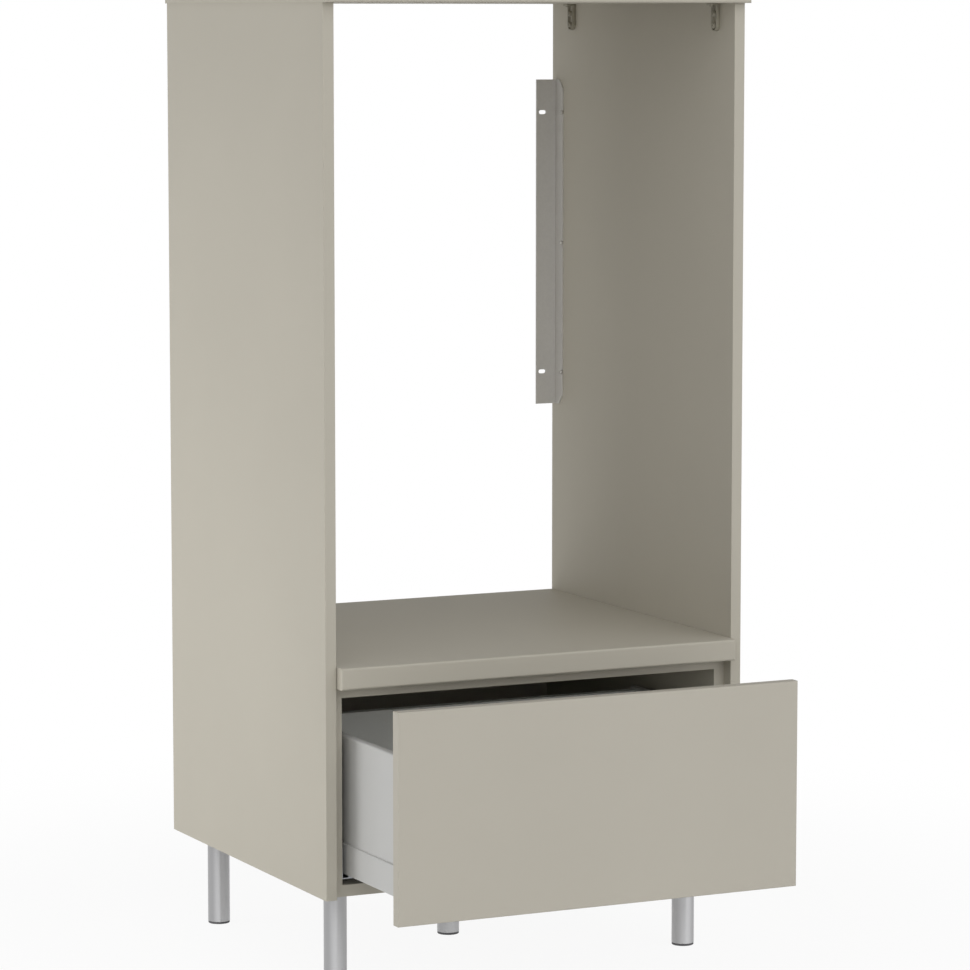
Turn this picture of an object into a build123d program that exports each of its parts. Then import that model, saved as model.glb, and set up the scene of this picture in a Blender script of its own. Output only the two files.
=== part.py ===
from build123d import *
import os

# Washing machine cabinet. Two tall side panels carry a top, a thick shelf for the machine and,
# under that shelf, a small carcass with one drawer. Five tube legs stand under the carcass.
# X runs to the right, Y to the back and Z up, in millimetres. The origin is on the floor, on the
# axis of the centre leg. The drawer stands part open, as far as drawer_open says.

os.makedirs("parts", exist_ok=True)

# Boards of the cabinet
cabinet_width = 640.0
panel_depth = 560.0
panel_height = 1210.0
board = 16.0
thick_board = 30.0
nose = 16.5
top_overhang = 2.0
shelf_height = 320.0
shelf_play = 0.5
edge_band_round = 0.8
nose_round = 3.0

# Inner carcass under the shelf
carcass_setback = 19.0
back_board = 8.0
back_board_inset = 8.0
groove_depth = 7.0
groove_play = 0.1

# Legs
leg_height = 133.0
leg_inset = 47.5
leg_setback_front = 79.0
leg_setback_back = 57.0
leg_diameter = 32.0
leg_wall = 1.5
leg_plate_size = 62.0
leg_plate_thickness = 2.5
leg_plate_corner = 8.0
leg_plate_hole_pitch = 44.0
spigot_length = 22.0
spigot_play = 0.1
spigot_sides = 12
round_sides = 20
foot_thickness = 3.0
foot_inset = 0.3
foot_gap = 0.3
foot_stud_diameter = 10.0
foot_stud_length = 34.0
foot_stud_play = 0.2
plug_length = 18.0

# Drawer front
front_gap_side = 2.5
front_gap_top = 3.0
front_gap_bottom = 1.0
front_round = 1.5
bumper_diameter = 10.0
bumper_gap = 0.3
bumper_inset = 20.0

# Drawer: how it travels, and its folded metal sides
drawer_open = 193.5
drawer_travel = 400.0
drawer_length = 410.0
side_gap = 6.0
side_underside = 30.0
side_height = 190.0
side_sheet = 1.2
band_height = 42.0
band_step = 3.0
wall_width = 12.0
wall_round = 3.0
band_round = 1.7
seat_lip = 8.0
seat_margin = 15.5

# Drawer boards, and the sheet holders that tie the front and the back to the sides
drawer_board = 16.0
drawer_board_play = 0.5
drawer_back_height = 144.0
holder_sheet = 2.0
holder_height = 120.0
holder_lift = 12.0
holder_tab = 52.0
holder_flange = 28.0
holder_play = 0.3
holder_screw_inset = 14.0
seat_screw_inset = 7.0
seat_screw_end = 50.0

# Telescopic runners
runner_length = 400.0
runner_setback = 2.0
bracket_sheet = 1.5
bracket_height = 42.0
runner_headroom = 2.3
skin_clearance = 2.8
channel_sheet = 1.2
channel_height = 27.0
channel_width = 10.0
channel_lip = 4.0
stop_height = 8.0
stop_gap = 0.3
beam_end_gap = 10.0
beam_thickness = 2.5
beam_height = 22.0
beam_corner = 5.0
beam_clearance = 1.0
roller_width = 5.2
roller_play = 0.3
roller_margin = 0.6
roller_end_distance = 14.0
pin_diameter = 5.0
pin_collar_diameter = 9.0
pin_head_diameter = 8.0
pin_head = 0.8
pin_play = 0.15
pin_side_play = 0.2

# Angle rails on the side panels, for screws into the wall
rail_length = 490.0
rail_height = 607.0
rail_sheet = 2.0
rail_round = 2.5
rail_flange = 25.0
rail_back_flange = 34.0
rail_back_inset = 11.0
rail_corner_across = 11.0
rail_corner_along = 13.0
rail_hole_end = 49.0
rail_notch_width = 5.0
rail_notch_depth = 6.5
rail_notches = 3
wall_slot_length = 12.0
wall_slot_width = 6.0
wall_slot_inset = 24.0

# Brackets under the top
top_bracket_width = 16.0
top_bracket_height = 39.0
top_bracket_thickness = 6.0
top_bracket_reach = 14.5
top_bracket_leaf = 3.0
top_bracket_setback_front = 50.0
top_bracket_setback_back = 67.5
top_screw_spacing = 16.0

# Screws: across the shank, across the head, and the head's height
board_screw = (4.0, 7.5, 2.2)
small_screw = (3.5, 6.0, 1.8)
long_screw = (6.0, 10.0, 3.0)
screw_play = 0.05
tip_play = 0.5
tip_cover = 4.0
long_screw_length = 50.0
panel_screw_inset = 45.0
panel_screw_lift = 100.0
panel_screw_drop = 45.0
shelf_screw_inset = 60.0
shelf_screw_spread = 200.0
shelf_screw_cover = 12.0
runner_screw_end = 35.0
runner_screw_drop = 8.0

# Places worked out from the sizes above
half_width = cabinet_width / 2
panel_x = half_width - board
carcass_x = panel_x - board
leg_x = half_width - leg_inset
leg_y = (panel_depth - leg_setback_front - leg_setback_back) / 2
front_y = -leg_y - leg_setback_front
back_y = front_y + panel_depth
carcass_y = front_y + carcass_setback
base_z = leg_height
top_z = base_z + panel_height
shelf_top_z = base_z + shelf_height
carcass_top_z = shelf_top_z - thick_board
ceiling_z = carcass_top_z - board
floor_z = base_z + board
back_board_end_y = back_y - back_board_inset
back_board_y = back_board_end_y - back_board
rail_end_y = back_y - rail_back_inset
rail_y = rail_end_y - rail_flange
rail_z = base_z + rail_height
rail_top_z = rail_z + rail_length

# Cross-section of the left drawer side and its runner, from the carcass side's inner face on
skin_x = -carcass_x + side_gap
outer_wall_x = skin_x + band_step
inner_wall_x = outer_wall_x + wall_width
cabinet_channel_x = skin_x + side_sheet + skin_clearance
beam_x = cabinet_channel_x + channel_width + beam_clearance
beam_end_x = beam_x + beam_thickness
drawer_channel_x = beam_end_x + beam_clearance
seat_end_x = drawer_channel_x + channel_width + seat_margin
side_z = base_z + side_underside
band_z = side_z + band_height
side_top_z = side_z + side_height
seat_z = band_z - drawer_board
seat_under_z = seat_z - side_sheet
cabinet_channel_top_z = seat_under_z - runner_headroom
bracket_leg_z = cabinet_channel_top_z - channel_height
bracket_z = bracket_leg_z - bracket_sheet
cabinet_track_z = cabinet_channel_top_z - channel_height / 2
drawer_track_z = seat_under_z - channel_height / 2
holder_z = band_z + holder_lift
holder_top_z = holder_z + holder_height
holder_x = inner_wall_x - side_sheet

# Places along Y with the drawer shut
drawer_y = front_y + board
drawer_end_y = drawer_y + drawer_length
drawer_back_y = drawer_end_y + holder_play
runner_y = carcass_y + runner_setback
runner_end_y = runner_y + runner_length
beam_y = runner_y + beam_end_gap
beam_end_y = runner_end_y - beam_end_gap
roller_diameter = channel_height - 2 * channel_sheet - 2 * roller_play
roller_reach = roller_end_distance + roller_diameter / 2 + channel_sheet + stop_gap
roller_spacing = runner_length - beam_end_gap - drawer_travel / 2 - roller_reach

nodes = {}


def keep(name, *pieces):
    """Notes the solids of one named piece, or of one group of like pieces."""
    nodes[name] = pieces


def block(x, y, z):
    """A block between two limits on each axis."""
    size = (x[1] - x[0], y[1] - y[0], z[1] - z[0])
    return Pos(x[0], y[0], z[0]) * Box(*size, align=(Align.MIN, Align.MIN, Align.MIN))


def rod(start, way, diameter, length):
    """A round bar that starts at a point and runs one way."""
    bar = Cylinder(diameter / 2, length, align=(Align.CENTER, Align.CENTER, Align.MIN))
    return Plane(origin=start, z_dir=way) * bar


def flat_sided(start, way, across, length, sides=6):
    """A bar with flat sides, for screws, pins and holes, which are small and many."""
    turned = (0, 0, 1) if way[2] == 0 else (1, 0, 0)
    outline = Plane(origin=start, x_dir=turned, z_dir=way) * RegularPolygon(across / 2, sides)
    return extrude(outline, amount=length)


def opposite(way):
    """The other way along the same line."""
    return tuple(-w for w in way)


def mirrored(piece):
    """The right-hand twin of a left-hand piece."""
    return mirror(piece, about=Plane.YZ)


def shifted(piece, distance):
    """A piece moved forward, as the drawer carries it."""
    return Pos(0, -distance, 0) * piece


def round_front(piece, radius):
    """Rounds the edges of a board's front face."""
    return fillet(piece.faces().sort_by(Axis.Y)[0].edges(), radius)


def folded(points, bends, sheet, plane, limits):
    """A folded strip: its skin follows the points, and its thickness lies to their right.

    The points are drawn in the plane, and the limits are the strip's ends square to it."""
    skin = FilletPolyline(*points, radius=bends).wire()
    section = Face(skin.offset_2d(sheet, kind=Kind.INTERSECTION, side=Side.RIGHT, closed=True))
    along = Vector(0, 1, 0) if plane == Plane.XZ else Vector(0, 0, 1)
    strip = extrude(plane * section, amount=limits[1] - limits[0], dir=along)
    return Pos(along * limits[0]) * strip


def without(piece, holes):
    """A piece with each hole taken out of it."""
    for hole in holes:
        piece = piece - hole
    return piece


# Fixings are lists of a seat, the way in and a length, so that a screw and its hole agree


def screws(fixings, size):
    """Screws whose heads rest on their seats."""
    shank, across, height = size
    return [flat_sided(seat, opposite(way), across, height) + flat_sided(seat, way, shank, length)
            for seat, way, length in fixings]


def pilots(fixings, size):
    """The holes for the screws' shanks."""
    across = size[0] + 2 * screw_play
    return [flat_sided(seat, way, across, length + tip_play) for seat, way, length in fixings]


def recesses(fixings, size):
    """Recesses that take the screws' heads flush."""
    across = size[1] + 2 * screw_play
    return [flat_sided(seat, opposite(way), across, size[2]) for seat, way, _ in fixings]


def twins(fixings):
    """Left-hand fixings followed by their right-hand twins."""
    return fixings + [((-s[0], s[1], s[2]), (-w[0], w[1], w[2]), length) for s, w, length in fixings]


def rail_fixings():
    """The left wall rail's screws, each in a notch in its front edge."""
    x = -panel_x + rail_sheet
    y = rail_y + rail_notch_depth - rail_notch_width / 2
    return [((x, y, z), (-1, 0, 0), rail_sheet + board - tip_cover) for z in rail_notch_heights()]


def rail_notch_heights():
    """Heights of the notches, from the lowest up."""
    step = (rail_length - 2 * rail_hole_end) / (rail_notches - 1)
    return [rail_z + rail_hole_end + step * n for n in range(rail_notches)]


def top_bracket_places():
    """How far back the left brackets under the top stand."""
    return {"front": front_y + top_bracket_setback_front, "back": back_y - top_bracket_setback_back}


def top_bracket_fixings(y):
    """Two screws from a left bracket into the side panel."""
    x = -panel_x + top_bracket_thickness
    low = top_z - top_bracket_height + top_bracket_width / 2
    length = top_bracket_thickness + board - tip_cover
    return [((x, y, z), (-1, 0, 0), length) for z in (low, low + top_screw_spacing)]


def top_leaf_fixing(y):
    """The screw from a left bracket's leaf up into the top."""
    x = -panel_x + (top_bracket_thickness + top_bracket_reach) / 2
    return [((x, y, top_z - top_bracket_leaf), (0, 0, 1), top_bracket_leaf + board)]


def panel_fixings():
    """Four screws from inside the carcass into the left side panel."""
    rows = (carcass_y + panel_screw_inset, back_board_y - panel_screw_inset)
    heights = (base_z + panel_screw_lift, ceiling_z - panel_screw_drop)
    return [((-carcass_x, y, z), (-1, 0, 0), 2 * board - tip_cover) for y in rows for z in heights]


def shelf_fixings():
    """Four screws from inside the carcass up into the shelf."""
    rows = (carcass_y + shelf_screw_inset, back_board_y - shelf_screw_inset)
    across = (-shelf_screw_spread, shelf_screw_spread)
    length = board + thick_board - shelf_screw_cover
    return [((x, y, ceiling_z), (0, 0, 1), length) for x in across for y in rows]


def corner_fixings():
    """Long screws through the left side into the carcass's boards, in line with the legs."""
    levels = (base_z + board / 2, carcass_top_z - board / 2)
    length = long_screw_length - long_screw[2]
    return [((-panel_x + long_screw[2], end * leg_y, z), (1, 0, 0), length)
            for end in (-1, 1) for z in levels]


def leg_places():
    """Name, X and Y of the five legs."""
    corners = {"front": -leg_y, "back": leg_y}
    places = [(f"{end}_{side}", x, y) for end, y in corners.items()
              for side, x in (("left", -leg_x), ("right", leg_x))]
    return places + [("centre", 0.0, 0.0)]


def leg_fixings():
    """Four screws from each leg's plate up into the carcass."""
    step = leg_plate_hole_pitch / 2
    length = leg_plate_thickness + board - tip_cover
    z = base_z - leg_plate_thickness
    return [((x + dx, y + dy, z), (0, 0, 1), length)
            for _, x, y in leg_places() for dx in (-step, step) for dy in (-step, step)]


def runner_fixings():
    """Two screws from the left runner's bracket into the carcass side."""
    z = bracket_z + bracket_height - runner_screw_drop
    rows = (runner_y + runner_screw_end, runner_end_y - runner_screw_end)
    length = bracket_sheet + board - tip_cover
    return [((-carcass_x + bracket_sheet, y, z), (-1, 0, 0), length) for y in rows]


def holder_heights():
    """Heights of the two screws in a front or back holder."""
    return (holder_z + holder_screw_inset, holder_top_z - holder_screw_inset)


def front_holder_fixings():
    """Two screws from the left front holder forward into the drawer front."""
    x = (outer_wall_x + side_sheet + holder_x - holder_sheet) / 2
    length = holder_sheet + board - tip_cover
    return [((x, drawer_y + holder_sheet, z), (0, -1, 0), length) for z in holder_heights()]


def back_holder_fixings():
    """Two screws from the left back holder forward into the drawer back."""
    x = holder_x + holder_flange - holder_screw_inset / 2
    length = holder_sheet + drawer_board - tip_cover
    return [((x, drawer_back_y + holder_sheet, z), (0, -1, 0), length) for z in holder_heights()]


def seat_fixings():
    """Two screws from the left side's seat up into the drawer's bottom."""
    rows = (drawer_y + seat_screw_end, drawer_end_y - seat_screw_end)
    length = side_sheet + drawer_board - tip_cover
    return [((seat_end_x - seat_screw_inset, y, seat_under_z), (0, 0, 1), length) for y in rows]


# Boards


def side_panel():
    """The left side panel, a coated board with banded edges."""
    panel = block((-half_width, -panel_x), (front_y, back_y), (base_z, top_z))
    panel = round_front(panel, edge_band_round)
    fixings = panel_fixings() + rail_fixings()
    for y in top_bracket_places().values():
        fixings = fixings + top_bracket_fixings(y)
    return without(panel, pilots(fixings, board_screw))


def top_panel():
    """The thick top: it stands out past the side panels on every side, most at the front."""
    across = half_width + top_overhang
    top = block((-across, across), (front_y - nose, back_y + top_overhang), (top_z, top_z + thick_board))
    top = round_front(top, nose_round)
    for y in top_bracket_places().values():
        top = without(top, pilots(twins(top_leaf_fixing(y)), small_screw))
    return top


def washer_shelf():
    """The thick shelf that the machine stands on, let in between the side panels."""
    across = panel_x - shelf_play
    shelf = block((-across, across), (front_y - nose, back_y), (carcass_top_z, shelf_top_z))
    return without(round_front(shelf, nose_round), pilots(shelf_fixings(), board_screw))


def groove():
    """The groove that runs round inside the carcass and takes the back board."""
    reach = groove_depth
    return block(
        (-carcass_x - reach, carcass_x + reach),
        (back_board_y - groove_play, back_board_end_y + groove_play),
        (floor_z - reach, ceiling_z + reach),
    )


def carcass_side():
    """The left side of the inner carcass, against the side panel."""
    side = block((-panel_x, -carcass_x), (carcass_y, back_y), (base_z, carcass_top_z))
    corners = pilots(corner_fixings(), long_screw) + recesses(corner_fixings(), long_screw)
    holes = pilots(panel_fixings() + runner_fixings() + leg_fixings(), board_screw)
    return without(side, [groove()] + corners + holes)


def carcass_top_board():
    """The carcass's top board, right under the shelf."""
    top = block((-carcass_x, carcass_x), (carcass_y, back_y), (ceiling_z, carcass_top_z))
    corners = pilots(twins(corner_fixings()), long_screw)
    return without(top, [groove()] + corners + pilots(shelf_fixings(), board_screw))


def carcass_bottom_board():
    """The carcass's bottom board, which all five legs carry."""
    bottom = block((-carcass_x, carcass_x), (carcass_y, back_y), (base_z, floor_z))
    corners = pilots(twins(corner_fixings()), long_screw)
    return without(bottom, [groove()] + corners + pilots(leg_fixings(), board_screw))


def carcass_back_board():
    """The thin back of the carcass, held in the groove."""
    reach = groove_depth - groove_play
    return block(
        (-carcass_x - reach, carcass_x + reach),
        (back_board_y, back_board_end_y),
        (floor_z - reach, ceiling_z + reach),
    )


# Fittings of the cabinet


def wall_rail():
    """The left steel angle: one flange on the side panel, one along the wall with two slots."""
    end_x = -panel_x + rail_back_flange
    points = [(-panel_x, rail_y), (-panel_x, rail_end_y), (end_x, rail_end_y)]
    rail = folded(points, rail_round, rail_sheet, Plane.XY, (rail_z, rail_top_z))
    corner = Plane.YZ * make_face(Polyline(
        (rail_y, rail_z), (rail_y + rail_corner_across, rail_z), (rail_y, rail_z + rail_corner_along),
        close=True))
    corner = Pos(-panel_x - rail_sheet, 0, 0) * extrude(corner, amount=3 * rail_sheet)
    rail = rail - corner - mirror(corner, about=Plane.XY.offset((rail_z + rail_top_z) / 2))
    across = (-panel_x - rail_sheet, -panel_x + 2 * rail_sheet)
    half = rail_notch_width / 2
    for z in rail_notch_heights():
        rail = rail - block(across, (rail_y - rail_sheet, rail_y + rail_notch_depth), (z - half, z + half))
    slot = SlotOverall(wall_slot_length, wall_slot_width)
    for z in (rail_z + rail_hole_end, rail_top_z - rail_hole_end):
        start = (-panel_x + wall_slot_inset, rail_end_y + rail_sheet, z)
        cut = Plane(origin=start, x_dir=(1, 0, 0), z_dir=(0, -1, 0)) * slot
        rail = rail - extrude(cut, amount=3 * rail_sheet)
    return rail


def top_bracket(y):
    """A left bracket under the top: a leg with a round end, and a thin leaf."""
    half = top_bracket_width / 2
    foot_z = top_z - top_bracket_height + half
    end_x = -panel_x + top_bracket_thickness
    leg = block((-panel_x, end_x), (y - half, y + half), (foot_z, top_z))
    end = flat_sided((-panel_x, y, foot_z), (1, 0, 0), top_bracket_width, top_bracket_thickness, round_sides)
    reach = (-panel_x, -panel_x + top_bracket_reach)
    bracket = leg + end + block(reach, (y - half, y + half), (top_z - top_bracket_leaf, top_z))
    holes = pilots(top_bracket_fixings(y), board_screw) + pilots(top_leaf_fixing(y), small_screw)
    return without(bracket, holes)


def leg_plate(x, y):
    """A leg's steel plate, with the spigot that goes into the tube."""
    half = leg_plate_size / 2
    under = base_z - leg_plate_thickness
    plate = block((x - half, x + half), (y - half, y + half), (under, base_z))
    plate = chamfer(plate.edges().filter_by(Axis.Z), leg_plate_corner)
    across = leg_diameter - 2 * leg_wall - 2 * spigot_play
    plate = plate + flat_sided((x, y, under), (0, 0, -1), across, spigot_length, spigot_sides)
    return without(plate, pilots(leg_fixings(), board_screw))


def leg_tube(x, y):
    """A leg's tube, from the plate down to just over its foot."""
    start = (x, y, foot_thickness + foot_gap)
    length = base_z - leg_plate_thickness - foot_thickness - foot_gap
    bore = flat_sided(start, (0, 0, 1), leg_diameter - 2 * leg_wall, length, spigot_sides)
    return rod(start, (0, 0, 1), leg_diameter, length) - bore


def leg_plug(x, y):
    """The threaded plug in the lower end of a leg's tube."""
    start = (x, y, foot_thickness + foot_gap)
    across = leg_diameter - 2 * leg_wall - 2 * spigot_play
    plug = flat_sided(start, (0, 0, 1), across, plug_length, spigot_sides)
    return plug - flat_sided(start, (0, 0, 1), foot_stud_diameter + 2 * foot_stud_play, plug_length)


def leg_foot(x, y):
    """An adjustable foot: a disc on the floor and the stud that turns in the plug."""
    disc = flat_sided((x, y, 0), (0, 0, 1), leg_diameter - 2 * foot_inset, foot_thickness, round_sides)
    return disc + flat_sided((x, y, foot_thickness), (0, 0, 1), foot_stud_diameter, foot_stud_length)


# Drawer


def drawer_front():
    """The plain inset front, which hides the carcass's edges."""
    across = panel_x - front_gap_side
    heights = (base_z + front_gap_bottom, carcass_top_z - front_gap_top)
    front = block((-across, across), (front_y, drawer_y), heights)
    front = round_front(front, front_round)
    return without(front, pilots(twins(front_holder_fixings()), small_screw))


def front_bumpers():
    """Four pads on the back of the front, which meet the carcass's edges when it shuts."""
    heights = (base_z + front_gap_bottom + bumper_inset, carcass_top_z - front_gap_top - bumper_inset)
    thickness = carcass_setback - board - bumper_gap
    return [flat_sided((side * (carcass_x + board / 2), drawer_y, z), (0, 1, 0), bumper_diameter, thickness)
            for side in (-1, 1) for z in heights]


def drawer_side():
    """The left side, one strip of sheet: the band over the runner, the hollow wall, the board's seat."""
    points = [
        (skin_x, side_z),
        (skin_x, band_z),
        (outer_wall_x, band_z),
        (outer_wall_x, side_top_z),
        (inner_wall_x, side_top_z),
        (inner_wall_x, seat_z),
        (seat_end_x, seat_z),
        (seat_end_x, seat_z - seat_lip),
    ]
    bends = [band_round, 0, wall_round, wall_round, 0, band_round]
    side = folded(points, bends, side_sheet, Plane.XZ, (drawer_y, drawer_end_y))
    return without(side, pilots(seat_fixings(), small_screw))


def front_holder():
    """The angle inside the left wall's front end, welded to it and screwed to the drawer front."""
    points = [
        (holder_x, drawer_y + holder_tab),
        (holder_x, drawer_y),
        (outer_wall_x + side_sheet + holder_play, drawer_y),
    ]
    holder = folded(points, 0, holder_sheet, Plane.XY, (holder_z, holder_top_z))
    return without(holder, pilots(front_holder_fixings(), small_screw))


def back_holder():
    """The angle at the left wall's back end, welded to it and screwed to the drawer back."""
    points = [
        (holder_x + holder_flange, drawer_back_y),
        (holder_x, drawer_back_y),
        (holder_x, drawer_back_y - holder_tab),
    ]
    holder = folded(points, 0, holder_sheet, Plane.XY, (holder_z, holder_top_z))
    return without(holder, pilots(back_holder_fixings(), board_screw))


def drawer_back():
    """The back board, on the bottom board and between the sides."""
    across = -inner_wall_x - drawer_board_play
    back = block((-across, across), (drawer_back_y - drawer_board, drawer_back_y),
                 (band_z, band_z + drawer_back_height))
    return without(back, pilots(twins(back_holder_fixings()), board_screw))


def drawer_bottom():
    """The bottom board, on the seats of both sides."""
    across = -inner_wall_x - drawer_board_play
    bottom = block((-across, across), (drawer_y + drawer_board_play, drawer_back_y), (seat_z, band_z))
    return without(bottom, pilots(twins(seat_fixings()), small_screw))


# Runner: bracket and channel on the carcass, beam with rollers, channel on the drawer


def runner_bracket():
    """The left bracket: a flange on the carcass side, and a leg under the drawer side's edge."""
    points = [
        (cabinet_channel_x + channel_width, bracket_z),
        (-carcass_x, bracket_z),
        (-carcass_x, bracket_z + bracket_height),
    ]
    bracket = folded(points, 0, bracket_sheet, Plane.XZ, (runner_y, runner_end_y))
    return without(bracket, pilots(runner_fixings(), board_screw))


def channel(lip_x, web_x, low):
    """A channel with turned-in lips, open from its web towards lip_x."""
    high = low + channel_height
    points = [
        (lip_x, low + channel_lip),
        (lip_x, low),
        (web_x, low),
        (web_x, high),
        (lip_x, high),
        (lip_x, high - channel_lip),
    ]
    if lip_x < web_x:
        points.reverse()
    return folded(points, 0, channel_sheet, Plane.XZ, (runner_y, runner_end_y))


def cabinet_channel():
    """The left channel on the bracket: its front end is turned up as the rollers' stop."""
    end_x = cabinet_channel_x + channel_width
    track = channel(end_x, cabinet_channel_x, bracket_leg_z)
    stop = block(
        (cabinet_channel_x + channel_sheet / 2, end_x - channel_sheet - roller_margin),
        (runner_y, runner_y + channel_sheet),
        (bracket_leg_z + channel_sheet / 2, bracket_leg_z + stop_height),
    )
    return track + stop


def drawer_channel():
    """The left channel under the drawer side's seat, with its stop at the back end."""
    web_x = drawer_channel_x + channel_width
    low = seat_under_z - channel_height
    track = channel(drawer_channel_x, web_x, low)
    stop = block(
        (drawer_channel_x + channel_sheet + roller_margin, web_x - channel_sheet / 2),
        (runner_end_y - channel_sheet, runner_end_y),
        (low + channel_sheet / 2, low + stop_height),
    )
    return track + stop


def roller_places():
    """Each roller of the left beam, two to a channel: how far back, how high, and on which side."""
    back_end = beam_end_y - roller_end_distance
    front_end = beam_y + roller_end_distance
    return {
        "cabinet_back": (back_end, cabinet_track_z, -1),
        "cabinet_front": (back_end - roller_spacing, cabinet_track_z, -1),
        "drawer_front": (front_end, drawer_track_z, 1),
        "drawer_back": (front_end + roller_spacing, drawer_track_z, 1),
    }


def roller_face(way):
    """X of the roller face that looks at the beam, on the left beam's side called way."""
    face = beam_x if way < 0 else beam_end_x
    return face + way * (beam_clearance + channel_sheet + roller_margin)


def runner_beam():
    """The left middle member: a flat bar with its corners cut off, which carries the pins."""
    middle = (cabinet_track_z + drawer_track_z) / 2
    heights = (middle - beam_height / 2, middle + beam_height / 2)
    beam = block((beam_x, beam_end_x), (beam_y, beam_end_y), heights)
    beam = chamfer(beam.edges().filter_by(Axis.X), beam_corner)
    across = pin_diameter + 2 * screw_play
    return without(beam, [flat_sided((beam_x, y, z), (1, 0, 0), across, beam_thickness)
                          for y, z, way in roller_places().values()])


def runner_pins():
    """The left beam's four pins: riveted in the beam, with a collar and a head beside the roller."""
    made = []
    for y, z, way in roller_places().values():
        out = (way, 0, 0)
        face = beam_x if way < 0 else beam_end_x
        near = roller_face(way) - way * pin_side_play
        far = roller_face(way) + way * (roller_width + pin_side_play)
        start = face - way * beam_thickness
        shank = flat_sided((start, y, z), out, pin_diameter, abs(far - start))
        collar = flat_sided((face, y, z), out, pin_collar_diameter, abs(near - face))
        made.append(shank + collar + flat_sided((far, y, z), out, pin_head_diameter, pin_head))
    return made


def roller(y, z, way):
    """A roller that turns on its pin."""
    start = (roller_face(way), y, z)
    bore = flat_sided(start, (way, 0, 0), pin_diameter + 2 * pin_play, roller_width, spigot_sides)
    return flat_sided(start, (way, 0, 0), roller_diameter, roller_width, round_sides) - bore


def keep_pair(name, *pieces, forward=0.0):
    """Notes a left-hand piece and its right-hand twin, moved forward if the drawer carries them."""
    placed = [shifted(piece, forward) for piece in pieces]
    keep(f"{name}_left", *placed)
    keep(f"{name}_right", *[mirrored(piece) for piece in placed])


# The boards of the cabinet, and what holds them together

keep_pair("side_panel", side_panel())
keep("top_panel", top_panel())
keep("washer_shelf", washer_shelf())
keep_pair("carcass_side", carcass_side())
keep("carcass_top_board", carcass_top_board())
keep("carcass_bottom_board", carcass_bottom_board())
keep("carcass_back_board", carcass_back_board())
keep("carcass_screws", *screws(twins(corner_fixings()), long_screw))
keep("carcass_fixing_screws", *screws(twins(panel_fixings()) + shelf_fixings(), board_screw))

# The rails and the brackets, which all hang on the side panels

keep_pair("wall_rail", wall_rail())
top_brackets = []
fitting_screws = screws(twins(rail_fixings()), board_screw)
for y in top_bracket_places().values():
    top_brackets += [top_bracket(y), mirrored(top_bracket(y))]
    fitting_screws += screws(twins(top_bracket_fixings(y)), board_screw)
    fitting_screws += screws(twins(top_leaf_fixing(y)), small_screw)
keep("top_brackets", *top_brackets)
keep("fitting_screws", *fitting_screws)

# The legs

for place, x, y in leg_places():
    keep(f"leg_tube_{place}", leg_tube(x, y))
    keep(f"leg_foot_{place}", leg_foot(x, y))
keep("leg_plates", *[leg_plate(x, y) for _, x, y in leg_places()])
keep("leg_plugs", *[leg_plug(x, y) for _, x, y in leg_places()])
keep("leg_screws", *screws(leg_fixings(), board_screw))

# The runners: what stays on the carcass, and the beams that go half as far as the drawer does

keep_pair("runner_bracket", runner_bracket())
keep_pair("runner_cabinet_channel", cabinet_channel())
keep("runner_screws", *screws(twins(runner_fixings()), board_screw))
keep_pair("runner_beam", runner_beam(), forward=drawer_open / 2)
keep_pair("runner_pins", *runner_pins(), forward=drawer_open / 2)
for place, seat in roller_places().items():
    keep_pair(f"roller_{place}", roller(*seat), forward=drawer_open / 2)

# The drawer, part open

keep_pair("runner_drawer_channel", drawer_channel(), forward=drawer_open)
keep_pair("drawer_side", drawer_side(), forward=drawer_open)
keep_pair("front_holder", front_holder(), forward=drawer_open)
keep_pair("back_holder", back_holder(), forward=drawer_open)
keep("drawer_front", shifted(drawer_front(), drawer_open))
keep("drawer_back", shifted(drawer_back(), drawer_open))
keep("drawer_bottom", shifted(drawer_bottom(), drawer_open))
keep("front_bumpers", *[shifted(pad, drawer_open) for pad in front_bumpers()])
drawer_board_screws = screws(twins(back_holder_fixings()), board_screw)
drawer_sheet_screws = screws(twins(front_holder_fixings() + seat_fixings()), small_screw)
keep("drawer_screws", *[shifted(one, drawer_open) for one in drawer_board_screws + drawer_sheet_screws])

for name, pieces in nodes.items():
    solids = [solid for piece in pieces for solid in piece.solids()]
    shape = solids[0] if len(solids) == 1 else Compound(children=solids)
    export_step(shape, f"parts/{name}.step")
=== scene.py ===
import math

import bmesh
import bpy
from mathutils import Matrix, Vector


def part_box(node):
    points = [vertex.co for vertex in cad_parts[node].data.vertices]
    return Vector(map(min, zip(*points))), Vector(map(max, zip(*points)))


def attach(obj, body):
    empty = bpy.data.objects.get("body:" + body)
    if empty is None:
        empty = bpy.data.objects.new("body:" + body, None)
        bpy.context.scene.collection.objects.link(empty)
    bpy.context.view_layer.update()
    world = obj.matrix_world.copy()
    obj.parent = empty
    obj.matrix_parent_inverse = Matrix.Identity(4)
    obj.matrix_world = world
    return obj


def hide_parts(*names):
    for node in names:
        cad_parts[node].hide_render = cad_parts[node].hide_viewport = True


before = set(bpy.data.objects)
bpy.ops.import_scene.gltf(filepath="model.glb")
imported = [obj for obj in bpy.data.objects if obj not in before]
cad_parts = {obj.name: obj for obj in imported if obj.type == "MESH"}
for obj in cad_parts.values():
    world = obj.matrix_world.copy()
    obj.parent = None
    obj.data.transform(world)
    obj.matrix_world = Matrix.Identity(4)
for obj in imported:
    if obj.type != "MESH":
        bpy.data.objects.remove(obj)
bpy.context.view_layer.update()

# The photograph's view: a long lens at the height of the top, from the cabinet's left front. It
# looks down by a few degrees, and the picture cuts off the top and the foot that is nearest.

camera_place = (-2.5275, -5.3381, 1.3271)
camera_turn = 25.8576
camera_tilt = 6.4878
camera_lens = 153.531
camera_sensor = 36
camera_reach = 60

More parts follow.
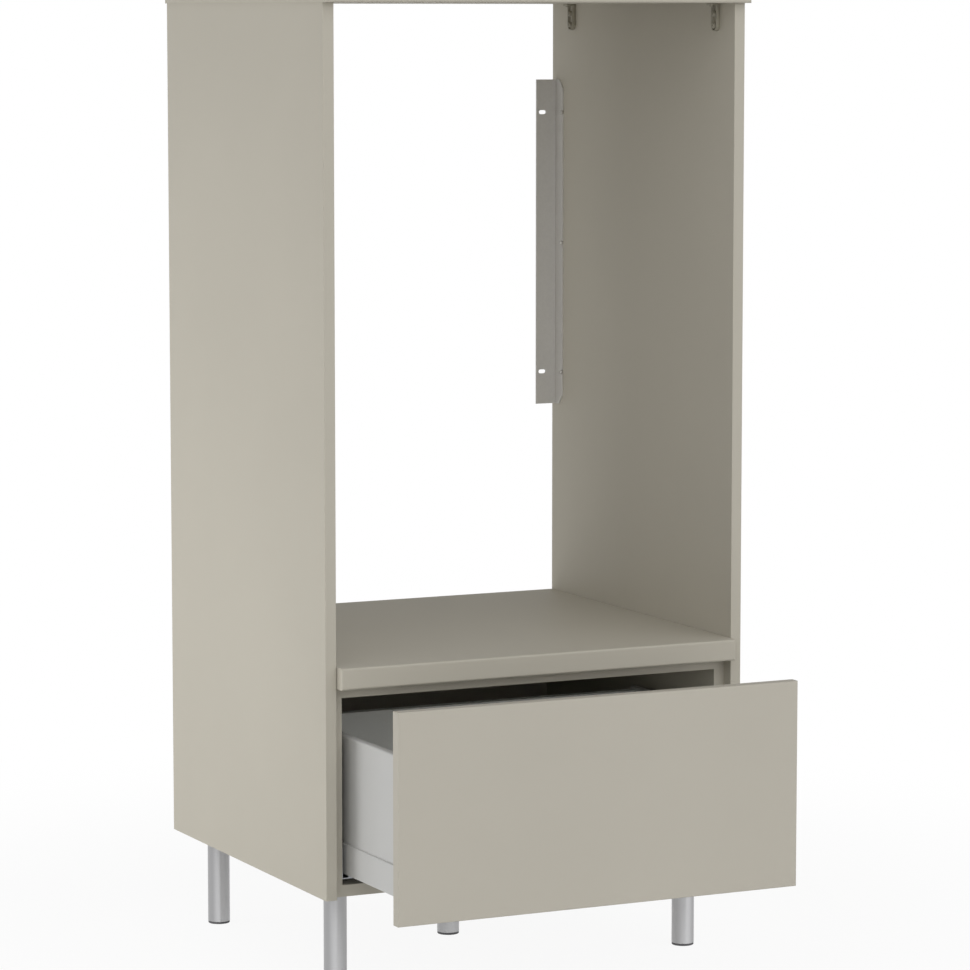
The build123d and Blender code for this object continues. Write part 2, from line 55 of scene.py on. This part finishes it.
camera = bpy.data.objects.new("camera", bpy.data.cameras.new("camera"))
bpy.context.scene.collection.objects.link(camera)
camera.location = camera_place
camera.rotation_euler = (math.radians(90 - camera_tilt), 0, math.radians(-camera_turn))
camera.data.lens = camera_lens
camera.data.sensor_width = camera_sensor
camera.data.clip_end = camera_reach
bpy.context.scene.camera = camera
bpy.context.scene.view_settings.view_transform = "Standard"

# The studio: a pale floor that runs into white, and soft light from the left front. The floor
# and the sky look white by themselves, so nothing has to be lit up for it. Their finishes, like
# all others here, are written as sums on the sockets of nodes.

white = (1, 1, 1, 1)
floor_half = 30.0
floor_colour = (0.9, 0.9, 0.9, 1)
floor_roughness = 0.9
shadow_share = 0.08
shadow_from = 0.5
shadow_to = 1.6
sky_light = 0.76
sky_even = 0.48
sky_front = 1.48
sky_left = 0.05
key_place = (-1.8, 0.35, 0.2)
key_aim = (0, 0, 0.6)
key_size = 1.0
key_power = 13.0


class Wire:
    """One output of a node: the usual signs work on it, and node() adds any other node."""

    def __init__(self, tree, out):
        self.tree = tree
        self.out = out

    def node(self, kind, settings=None, sockets=None, output=0):
        made = self.tree.nodes.new("ShaderNode" + kind)
        for name, value in (settings or {}).items():
            setattr(made, name, value)
        for name, value in (sockets or {}).items():
            if isinstance(value, Wire):
                self.tree.links.new(value.out, made.inputs[name])
            else:
                made.inputs[name].default_value = value
        return Wire(self.tree, made.outputs[output])

    def maths(self, operation, *values):
        return self.node("Math", {"operation": operation}, dict(enumerate((self,) + values)))

    def __add__(self, other):
        return self.maths("ADD", other)

    def __sub__(self, other):
        return self.maths("SUBTRACT", other)

    def __rsub__(self, other):
        return self * -1 + other

    def __mul__(self, other):
        return self.maths("MULTIPLY", other)

    __radd__ = __add__
    __rmul__ = __mul__

    def highest(self, other):
        return self.maths("MAXIMUM", other)

    def between(self, low, high):
        """0 at low and under, 1 at high and over."""
        return self.node("MapRange", {"interpolation_type": "SMOOTHSTEP"},
                         {"Value": self, "From Min": low, "From Max": high})

    def spread(self, low, high):
        """Low where this is 0, high where it is 1."""
        return self * (high - low) + low

    def ray(self, kind):
        """1 for the rays of a kind: Camera, Glossy or Transmission."""
        return self.node("LightPath", output=f"Is {kind} Ray")

    def noise(self, scale, detail=2.0, stretch=(1, 1, 1)):
        """Cloudy values around 0.5, stretched along each axis."""
        place = self.node("VectorMath", {"operation": "MULTIPLY"}, {0: self, 1: stretch})
        return self.node("TexNoise", None, {"Vector": place, "Scale": scale, "Detail": detail})

    def axis(self, name):
        """X, Y or Z of a place."""
        return self.node("SeparateXYZ", None, {0: self}, "XYZ".index(name))

    def mix(self, first, second):
        """The first colour where this is 0, the second where it is 1."""
        return self.node("Mix", {"data_type": "RGBA"}, {0: self, 6: first, 7: second}, 2)

    def bump(self, distance, strength):
        """A normal that follows this height."""
        return self.node("Bump", None, {"Height": self, "Distance": distance,
                                        "Strength": strength})


def finish(name, **even):
    """A new material, its shader and its place wire. Even values, such as Metallic=1.0, are set
    on the shader's own sockets."""
    material = bpy.data.materials.new(name)
    material.use_nodes = True
    tree = material.node_tree
    shader = tree.nodes["Principled BSDF"]
    for socket, value in even.items():
        shader.inputs[socket.replace("_", " ")].default_value = value
    place = Wire(tree, tree.nodes.new("ShaderNodeTexCoord").outputs["Object"])
    return material, shader, place


floor_mesh = bmesh.new()
bmesh.ops.create_grid(floor_mesh, x_segments=1, y_segments=1, size=floor_half)
floor_data = bpy.data.meshes.new("floor")
floor_mesh.to_mesh(floor_data)
floor_mesh.free()
floor = bpy.data.objects.new("floor", floor_data)
bpy.context.scene.collection.objects.link(floor)

floor_finish, floor_shader, spot = finish("studio_floor", Roughness=floor_roughness,
                                          Base_Color=floor_colour)
seen = spot.ray("Camera").highest(spot.ray("Glossy")).highest(spot.ray("Transmission"))
away = (spot.axis("X") * spot.axis("X") + spot.axis("Y") * spot.axis("Y")).maths("SQRT")
whiteness = seen * away.between(shadow_from, shadow_to).spread(1 - shadow_share, 1)
glow = spot.node("Emission", None, {"Color": white, "Strength": 1.0})
blend = spot.node("MixShader", None, {0: whiteness, 2: glow})
floor_tree = floor_finish.node_tree
floor_tree.links.new(floor_shader.outputs[0], blend.out.node.inputs[1])
floor_tree.links.new(blend.out, floor_tree.nodes["Material Output"].inputs["Surface"])
floor_data.materials.append(floor_finish)

world = bpy.data.worlds.new("studio")
bpy.context.scene.world = world
world.use_nodes = True
sky = world.node_tree.nodes["Background"]
sky.inputs["Color"].default_value = white
way = Wire(world.node_tree, world.node_tree.nodes.new("ShaderNodeTexCoord").outputs["Generated"])
seen = way.ray("Camera")
from_front = (way.axis("Y") * -1).highest(0.0) * sky_front
from_left = (way.axis("X") * -1).highest(0.0) * sky_left
side_light = from_front + from_left + sky_even
level = way.ray("Glossy").highest(way.ray("Transmission")).spread(sky_light, 1)
strength = seen + (1 - seen) * level * side_light
world.node_tree.links.new(strength.out, sky.inputs["Strength"])

key = bpy.data.lights.new("key_lamp", "AREA")
key.shape = "SQUARE"
key.size = key_size
key.energy = key_power
key_holder = bpy.data.objects.new("key_lamp", key)
key_holder.location = key_place
key_way = Vector(key_aim) - Vector(key_place)
key_holder.rotation_euler = key_way.to_track_quat("-Z", "Y").to_euler()
key_holder.visible_glossy = False
bpy.context.scene.collection.objects.link(key_holder)

# The boards: particle board coated in a satin warm grey, the same on every face, with a plain
# edge band that is a touch darker where an edge is open to view. Screws hold them together.


def tint(red, green, blue):
    """A colour from its usual 0 to 255 values."""
    linear = [(c / 255 / 12.92) if c < 10.4 else ((c / 255 + 0.055) / 1.055) ** 2.4
              for c in (red, green, blue)]
    return (*linear, 1.0)


def shades(colour, *shares):
    """Darker and lighter shades of a colour."""
    return [tuple(min(1.0, c * share) for c in colour[:3]) + (1.0,) for share in shares]


def connect(shader, **wires):
    """Leads wires to the shader's sockets: Base_Color, Roughness, Normal and so on."""
    for name, wire in wires.items():
        wire.tree.links.new(wire.out, shader.inputs[name.replace("_", " ")])


def dress(node, material):
    """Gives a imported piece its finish."""
    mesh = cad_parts[node].data
    mesh.materials.clear()
    mesh.materials.append(material)


board_colour = tint(189, 184, 171)
board_gloss = 0.3
board_roughness = (0.49, 0.61)
board_cloud = 3.0
board_grain = 1400
board_pores = 2600
cloud_share = 0.7
tone_from = 0.25
tone_to = 0.75
face_tones = (0.975, 1.02)
band_share = 0.97
band_tones = (band_share * 0.985, band_share * 1.01)
band_thickness = 0.001
band_blur = 0.0002
grain_share = 0.6
grain_depth = 0.00004
grain_strength = 0.5


def board_finish(name, node, colour, bands):
    """A coated board: bands are the sides, such as -Y, whose edge faces have a band."""
    material, shader, place = finish(name, Specular_IOR_Level=board_gloss)
    low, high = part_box(node)
    cloud = place.noise(board_cloud, detail=3.0)
    grain = place.noise(board_grain)
    pores = place.noise(board_pores, detail=1.0)
    tone = (cloud * cloud_share + grain * (1 - cloud_share)).between(tone_from, tone_to)
    face = tone.mix(*shades(colour, *face_tones))
    banded = None
    for sign, axis in bands:
        along = place.axis(axis)
        end = "XYZ".index(axis)
        if sign == "-":
            depth = along * -1 + (low[end] + band_thickness)
        else:
            depth = along - (high[end] - band_thickness)
        mask = depth.between(0, band_blur)
        banded = mask if banded is None else banded.highest(mask)
    if banded is not None:
        face = banded.mix(face, tone.mix(*shades(colour, *band_tones)))
    rough = grain * grain_share + pores * (1 - grain_share)
    connect(shader, Base_Color=face, Roughness=pores.spread(*board_roughness),
            Normal=rough.bump(grain_depth, grain_strength))
    return material


for side in ("left", "right"):
    node = f"side_panel_{side}"
    dress(node, board_finish(f"laminate_{node}", node, board_colour, ("-Y", "+Y", "-Z", "+Z")))
    node = f"carcass_side_{side}"
    dress(node, board_finish(f"laminate_{node}", node, board_colour, ("-Y", "+Y", "-Z")))
for node in ("top_panel", "washer_shelf", "carcass_top_board", "carcass_bottom_board"):
    dress(node, board_finish(f"laminate_{node}", node, board_colour, ("-Y", "+Y")))
dress("carcass_back_board", board_finish("laminate_back", "carcass_back_board", board_colour, ()))

# The drawer's boards: a front of fibre board coated on all its faces, which hangs on holders
# behind it, and a back and a bottom of board coated in light grey, carried by the metal sides.

front_colour = tint(188, 183, 171)
inside_colour = tint(224, 225, 222)
dress("drawer_front", board_finish("laminate_front", "drawer_front", front_colour, ()))
for node in ("drawer_back", "drawer_bottom"):
    dress(node, board_finish(f"laminate_{node}", node, inside_colour, ("-Y", "+Y")))

# The drawer's metal: two double-walled sides folded from one strip of sheet each, and the
# holders that tie the front and the back to them, all in a smooth pale grey powder paint.

metal_paint = tint(196, 196, 194)


def grained(name, colour, scale, tones, roughness, depth, strength, detail=2.0,
            stretch=(1, 1, 1), cloud=None, **even):
    """A finish with one fine grain, which varies its tone, its roughness and its height. A cloud
    of another scale may vary the tone in its place."""
    material, shader, place = finish(name, **even)
    grain = place.noise(scale, detail, stretch)
    tone = grain if cloud is None else place.noise(cloud)
    connect(shader, Base_Color=tone.mix(*shades(colour, *tones)),
            Roughness=grain.spread(*roughness), Normal=grain.bump(depth, strength))
    return material


paint = grained("drawer_paint", metal_paint, scale=700, cloud=6, tones=(0.97, 1.02),
                roughness=(0.33, 0.43), depth=0.00003, strength=0.6)
for side in ("left", "right"):
    for node in ("drawer_side", "front_holder", "back_holder"):
        dress(f"{node}_{side}", paint)

# The wall rails: two steel angles with clipped corners in a dull zinc coat. Each is screwed to
# the inner face of a side panel, and its other flange has two slots for screws into the wall.

rail_colour = tint(207, 205, 201)
zinc = grained("rail_zinc", rail_colour, scale=260, detail=3.0, tones=(0.93, 1.05),
               roughness=(0.34, 0.5), depth=0.00002, strength=0.5, Metallic=0.2)
for node in ("wall_rail_left", "wall_rail_right"):
    dress(node, zinc)

# The brackets under the top: small angles moulded in a darker grey plastic. Each leg is hollow
# behind a rim, with two bosses for its screws, and its leaf lies under the top with a third screw.

bracket_colour = tint(155, 150, 135)
bracket_edge = 0.0003
bracket_rim = 0.0016
bracket_floor = 0.0025
bracket_thickness = 0.006
bracket_steps = 24
inner_edge = 0.00024
leaf_thickness = 0.003
leaf_corner = 0.003
leaf_play = 0.0001
leaf_steps = 8
boss_radius = 0.0042
boss_steps = 32
same_spot = 0.000001
smooth_angle = math.radians(35)
corner_angle = 1.0
plastic = grained("bracket_plastic", bracket_colour, scale=1500, tones=(0.97, 1.03),
                  roughness=(0.45, 0.55), depth=0.00003, strength=0.6)


def solids(node):
    """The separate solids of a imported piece, each as the places of its corners."""
    copy = bmesh.new()
    copy.from_mesh(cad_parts[node].data)
    bmesh.ops.remove_doubles(copy, verts=copy.verts, dist=same_spot)
    met = set()
    groups = []
    for first in copy.verts:
        if first not in met:
            met.add(first)
            group = [first]
            for vert in group:
                for line in vert.link_edges:
                    other = line.other_vert(vert)
                    if other not in met:
                        met.add(other)
                        group.append(other)
            groups.append([vert.co.copy() for vert in group])
    copy.free()
    return groups


def corners(places):
    """The lowest and the highest corner of some places."""
    return [[pick(place[k] for place in places) for k in range(3)] for pick in (min, max)]


def turned(profile, steps):
    """A shape turned round the Z axis from its points, each a radius and a height."""
    mesh = bmesh.new()
    points = [mesh.verts.new((radius, 0, height)) for radius, height in profile]
    lines = [mesh.edges.new(pair) for pair in zip(points, points[1:])]
    bmesh.ops.spin(mesh, geom=points + lines, cent=(0, 0, 0), axis=(0, 0, 1), angle=math.tau,
                   steps=steps, use_merge=True)
    bmesh.ops.remove_doubles(mesh, verts=mesh.verts, dist=same_spot)
    bmesh.ops.recalc_face_normals(mesh, faces=mesh.faces)
    return mesh


def moved(mesh, place, way, roll=0.0):
    """Turns a shape's Z axis to a direction, and puts it in its place."""
    turn = Vector((0, 0, 1)).rotation_difference(Vector(way)).to_matrix().to_4x4()
    matrix = Matrix.Translation(place) @ turn @ Matrix.Rotation(roll, 4, "Z")
    bmesh.ops.transform(mesh, matrix=matrix, verts=mesh.verts)
    return mesh


def made(name, mesh, material, body, slot, *nodes):
    """A finished piece: smooth but for its sharp edges, on its body, in place of packed ones."""
    data = bpy.data.meshes.new(name)
    mesh.to_mesh(data)
    mesh.free()
    data.shade_smooth()
    data.set_sharp_from_angle(angle=smooth_angle)
    data.materials.append(material)
    piece = bpy.data.objects.new(name, data)
    bpy.context.scene.collection.objects.link(piece)
    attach(piece, body)
    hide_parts(*nodes)


def gather(whole, part):
    """Adds a shape to another one."""
    data = bpy.data.meshes.new("part")
    part.to_mesh(data)
    part.free()
    whole.from_mesh(data)
    bpy.data.meshes.remove(data)


def eased(mesh, lines, width, steps=2):
    """Rounds edges of a shape."""
    bmesh.ops.bevel(mesh, geom=lines, offset=width, offset_type="OFFSET", segments=steps,
                    profile=0.5, affect="EDGES", clamp_overlap=True, material=-1)


def sharp(mesh):
    """The edges at a shape's corners."""
    return [line for line in mesh.edges if line.calc_face_angle(0) > corner_angle]


fittings = solids("fitting_screws")
brackets = bmesh.new()
for places in solids("top_brackets"):
    low, high = corners(places)
    side = 1 if low[0] > 0 else -1
    wall = high[0] if side > 0 else low[0]
    middle, half = (low[1] + high[1]) / 2, (high[1] - low[1]) / 2

    leg = bmesh.new()
    first = leg.verts.new((wall, middle - half, low[2] + half))
    bmesh.ops.spin(leg, geom=[first], cent=(wall, middle, low[2] + half), axis=(1, 0, 0),
                   angle=math.pi, steps=bracket_steps)
    leg.verts.ensure_lookup_table()
    tops = [leg.verts.new((wall, middle + y, high[2])) for y in (half, -half)]
    last = max(leg.verts[:-2], key=lambda vert: vert.co.y)
    for pair in ((last, tops[0]), tops, (tops[1], first)):
        leg.edges.new(pair)
    bmesh.ops.edgeloop_fill(leg, edges=leg.edges[:])
    grown = bmesh.ops.extrude_face_region(leg, geom=leg.faces[:])["geom"]
    bmesh.ops.translate(leg, vec=(-side * bracket_thickness, 0, 0),
                        verts=[item for item in grown if isinstance(item, bmesh.types.BMVert)])
    bmesh.ops.recalc_face_normals(leg, faces=leg.faces)
    front = [face for face in leg.faces
             if abs(face.calc_center_median().x - wall) > bracket_thickness - bracket_edge]
    bmesh.ops.inset_region(leg, faces=front, thickness=bracket_rim, depth=0, use_even_offset=True)
    bmesh.ops.inset_region(leg, faces=front, thickness=bracket_edge, use_even_offset=True,
                           depth=bracket_floor - bracket_thickness)
    eased(leg, sharp(leg), inner_edge)
    gather(brackets, leg)

    leaf = bmesh.new()
    bmesh.ops.create_cube(leaf, size=1)
    reach = high[0] - low[0] - leaf_play
    bmesh.ops.scale(leaf, vec=(reach, 2 * (half - leaf_play), leaf_thickness), verts=leaf.verts)
    leaf_x = (low[0] + high[0] - side * leaf_play) / 2
    bmesh.ops.translate(leaf, vec=(leaf_x, middle, high[2] - leaf_play - leaf_thickness / 2),
                        verts=leaf.verts)
    uprights = [line for line in leaf.edges
                if all(abs(vert.co.x - wall) > bracket_thickness for vert in line.verts)
                and abs(line.verts[0].co.z - line.verts[1].co.z) > leaf_thickness / 2]
    eased(leaf, uprights, leaf_corner, leaf_steps)
    eased(leaf, sharp(leaf), bracket_edge)
    gather(brackets, leaf)

    for group in fittings:
        start, end = corners(group)
        spot_y, spot_z = (start[1] + end[1]) / 2, (start[2] + end[2]) / 2
        lies_across = end[0] - start[0] > end[2] - start[2]
        in_leg = abs(spot_y - middle) < half and low[2] < spot_z < high[2] and side * start[0] > 0
        if lies_across and in_leg:
            rise = bracket_thickness - bracket_floor
            boss = turned([(0, 0), (boss_radius + bracket_edge, 0),
                           (boss_radius, rise - bracket_edge),
                           (boss_radius - bracket_edge, rise), (0, rise)], boss_steps)
            base = (wall - side * bracket_floor, spot_y, spot_z)
            gather(brackets, moved(boss, base, (-side, 0, 0)))
made("moulded_top_brackets", brackets, plastic, "cabinet", "bracket_plastic", "top_brackets")

# The legs: aluminium tubes, brushed round and round before they are anodised, so that light
# spreads along them. Each is pushed on its plate's spigot, and a plastic plug closes its foot.

leg_colour = tint(194, 194, 195)
foot_colour = tint(96, 96, 98)
leg_places = ("front_left", "front_right", "back_left", "back_right", "centre")
satin = grained("leg_satin", leg_colour, scale=900, stretch=(0.05, 0.05, 1), tones=(0.95, 1.03),
                roughness=(0.41, 0.49), depth=0.00001, strength=0.3, Metallic=1.0,
                Anisotropic=0.9, Anisotropic_Rotation=0.25)
foot_plastic = grained("foot_plastic", foot_colour, scale=1200, tones=(0.94, 1.06),
                       roughness=(0.5, 0.6), depth=0.00003, strength=0.6)
for place in leg_places:
    dress(f"leg_tube_{place}", satin)
dress("leg_plugs", foot_plastic)

# The adjustable feet: moulded discs with rounded rims and a dished sole. Each has a threaded stud
# that turns in its leg's plug, and its thread shows when the foot is screwed out.

foot_rim = 0.0005
foot_thickness = 0.003
foot_sole = 0.0125
foot_steps = 64
stud_crest = 0.005
stud_root = 0.0043
stud_pitch = 0.0015
crest_from = 0.45
crest_to = 0.55
stud_chamfer = 0.001
for place in leg_places:
    low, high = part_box(f"leg_foot_{place}")
    radius = (high[0] - low[0]) / 2
    profile = [(0, foot_rim), (foot_sole, foot_rim), (foot_sole + foot_rim, 0),
               (radius - foot_rim, 0), (radius, foot_rim), (radius, foot_thickness - foot_rim),
               (radius - foot_rim, foot_thickness), (stud_root, foot_thickness)]
    height = foot_thickness
    while height + stud_pitch < high[2] - stud_chamfer:
        profile += [(stud_crest, height + stud_pitch * crest_from),
                    (stud_crest, height + stud_pitch * crest_to),
                    (stud_root, height + stud_pitch)]
        height += stud_pitch
    profile += [(stud_root, high[2] - stud_chamfer), (stud_root - stud_chamfer, high[2]),
                (0, high[2])]
    centre = ((low[0] + high[0]) / 2, (low[1] + high[1]) / 2, 0)
    made(f"turned_foot_{place}", moved(turned(profile, foot_steps), centre, (0, 0, 1)),
         foot_plastic, f"foot_{place}", "foot_plastic", f"leg_foot_{place}")

# The leg plates and the runners: pressed and rolled steel, plated with bright zinc. The plates
# are screwed under the carcass, and the runners' brackets and channels to its sides and drawer.

steel_colour = tint(160, 162, 165)
plated = grained("plated_steel", steel_colour, scale=90, detail=3.0, stretch=(1, 0.05, 1),
                 tones=(0.9, 1.05), roughness=(0.24, 0.4), depth=0.00002, strength=0.5,
                 Metallic=1.0)
dress("leg_plates", plated)
for side in ("left", "right"):
    for node in ("runner_bracket", "runner_cabinet_channel", "runner_drawer_channel",
                 "runner_beam", "runner_pins"):
        dress(f"{node}_{side}", plated)

# The screws: pan heads of plated steel with a cross recess, turned into the boards up to their
# heads. Those of the rails are coated as dully as the rails, and the brackets' are capped.

head_play = 0.96
shank_play = 0.97
head_dome = ((1, 0), (1, 0.35), (0.94, 0.66), (0.82, 0.88), (0.66, 1))
screw_point = ((0, 0), (0.5, 1.2), (1, 2.4))
screw_steps = 24
cross_share = 0.5
cross_taper = 0.8
cross_depth = 0.7
cross_arm = math.radians(15)
turn_between = 0.65
same_level = 0.00001
on_ring = 1e-7
no_turn = 1e-9


def crossed(mesh, radius, height):
    """Pulls a ring of points in to the outline of a cross recess."""
    half = radius * math.tan(cross_arm)
    quarter = math.radians(90)
    for vert in mesh.verts:
        if abs(vert.co.z - height) < on_ring and abs(vert.co.xy.length - radius) < on_ring:
            turn = (math.atan2(vert.co.y, vert.co.x) + quarter / 2) % quarter - quarter / 2
            reach = min(radius / math.cos(turn), half / max(abs(math.sin(turn)), no_turn))
            vert.co.xy = vert.co.xy * (reach / radius)


def pan_screw(places, number):
    """A screw where a packed one is: its corners give its way, its head and its shank."""
    low, high = corners(places)
    along = max(range(3), key=lambda k: high[k] - low[k])
    middle = Vector([(a + b) / 2 for a, b in zip(low, high)])
    reach = {}
    for end in (low[along], high[along]):
        ring = [place - middle for place in places if abs(place[along] - end) < same_level]
        for spoke in ring:
            spoke[along] = 0
        reach[end] = max(spoke.length for spoke in ring)
    top = max(reach, key=reach.get)
    tip = low[along] + high[along] - top
    rise = min(abs(place[along] - top) for place in places
               if abs(place[along] - top) > same_level)
    head, shank, length = reach[top] * head_play, reach[tip] * shank_play, abs(top - tip) - rise
    cross = head * cross_share
    deep = rise * (1 - cross_depth)
    profile = [(shank * wide, shank * far - length) for wide, far in screw_point]
    profile += [(shank, 0)] + [(head * wide, rise * far) for wide, far in head_dome]
    profile += [(cross, rise), (cross * cross_taper, deep), (0, deep * cross_taper)]
    screw = turned(profile, screw_steps)
    crossed(screw, cross, rise)
    crossed(screw, cross * cross_taper, deep)
    way = Vector((0, 0, 0))
    way[along] = 1 if top > tip else -1
    place = middle.copy()
    place[along] = top - way[along] * rise
    return moved(screw, place, way, number * turn_between)


def screws(name, groups, material, body, node):
    """One piece of screws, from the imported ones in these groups."""
    whole = bmesh.new()
    for number, places in enumerate(groups):
        gather(whole, pan_screw(places, number))
    made(name, whole, material, body, "screw_steel", node)


for node, body in (("leg_screws", "cabinet"), ("carcass_screws", "cabinet"),
                   ("carcass_fixing_screws", "cabinet"), ("runner_screws", "cabinet"),
                   ("drawer_screws", "drawer")):
    screws(f"pan_{node}", solids(node), plated, body, node)

rail_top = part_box("wall_rail_left")[1][2]
for name, material, under_top in (("pan_rail_screws", zinc, False),
                                  ("capped_bracket_screws", plastic, True)):
    groups = [group for group in fittings if (group[0].z > rail_top) == under_top]
    screws(name, groups, material, "cabinet", "fitting_screws")

# The rollers: white plastic wheels on the pins of the runners' beams, each with a shallow web
# between its hub and its rim, and eased edges where it rolls in its channel.

nylon_colour = tint(222, 221, 214)
pin_bore = 0.00265
roller_edge = 0.0004
roller_web = 0.0007
hub_share = 0.42
web_from = 0.45
web_to = 0.78
rim_share = 0.81
roller_steps = 64
nylon = grained("roller_nylon", nylon_colour, scale=900, tones=(0.97, 1.02),
                roughness=(0.35, 0.45), depth=0.00002, strength=0.6)
for side in ("left", "right"):
    for place in ("cabinet_back", "cabinet_front", "drawer_front", "drawer_back"):
        node = f"roller_{place}_{side}"
        low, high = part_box(node)
        face, radius = (high[0] - low[0]) / 2, (high[2] - low[2]) / 2
        half = [(pin_bore, 0), (pin_bore, face - roller_edge), (pin_bore + roller_edge, face),
                (radius * hub_share, face), (radius * web_from, face - roller_web),
                (radius * web_to, face - roller_web), (radius * rim_share, face),
                (radius - roller_edge, face), (radius, face - roller_edge), (radius, 0)]
        profile = half + [(wide, -rise) for wide, rise in half[-2::-1]]
        middle = [(a + b) / 2 for a, b in zip(low, high)]
        made(f"turned_{node}", moved(turned(profile, roller_steps), middle, (1, 0, 0)), nylon,
             node, "roller_plastic", node)

# The pads behind the drawer front: small domes of soft clear-grey rubber, glued on, which meet
# the front edges of the carcass when the drawer shuts.

rubber_colour = tint(168, 168, 166)
pad_play = 0.96
pad_dome = ((0, 0), (1, 0), (1, 0.25), (0.95, 0.6), (0.8, 0.86), (0.5, 0.98), (0, 1))
pad_steps = 40
rubber = grained("pad_rubber", rubber_colour, scale=900, tones=(0.96, 1.04),
                 roughness=(0.55, 0.65), depth=0.00003, strength=0.6)
pads = bmesh.new()
for places in solids("front_bumpers"):
    low, high = corners(places)
    radius, rise = (high[2] - low[2]) / 2 * pad_play, high[1] - low[1]
    pad = turned([(radius * wide, rise * far) for wide, far in pad_dome], pad_steps)
    gather(pads, moved(pad, ((low[0] + high[0]) / 2, low[1], (low[2] + high[2]) / 2), (0, 1, 0)))
made("domed_front_pads", pads, rubber, "drawer", "bumper_rubber", "front_bumpers")
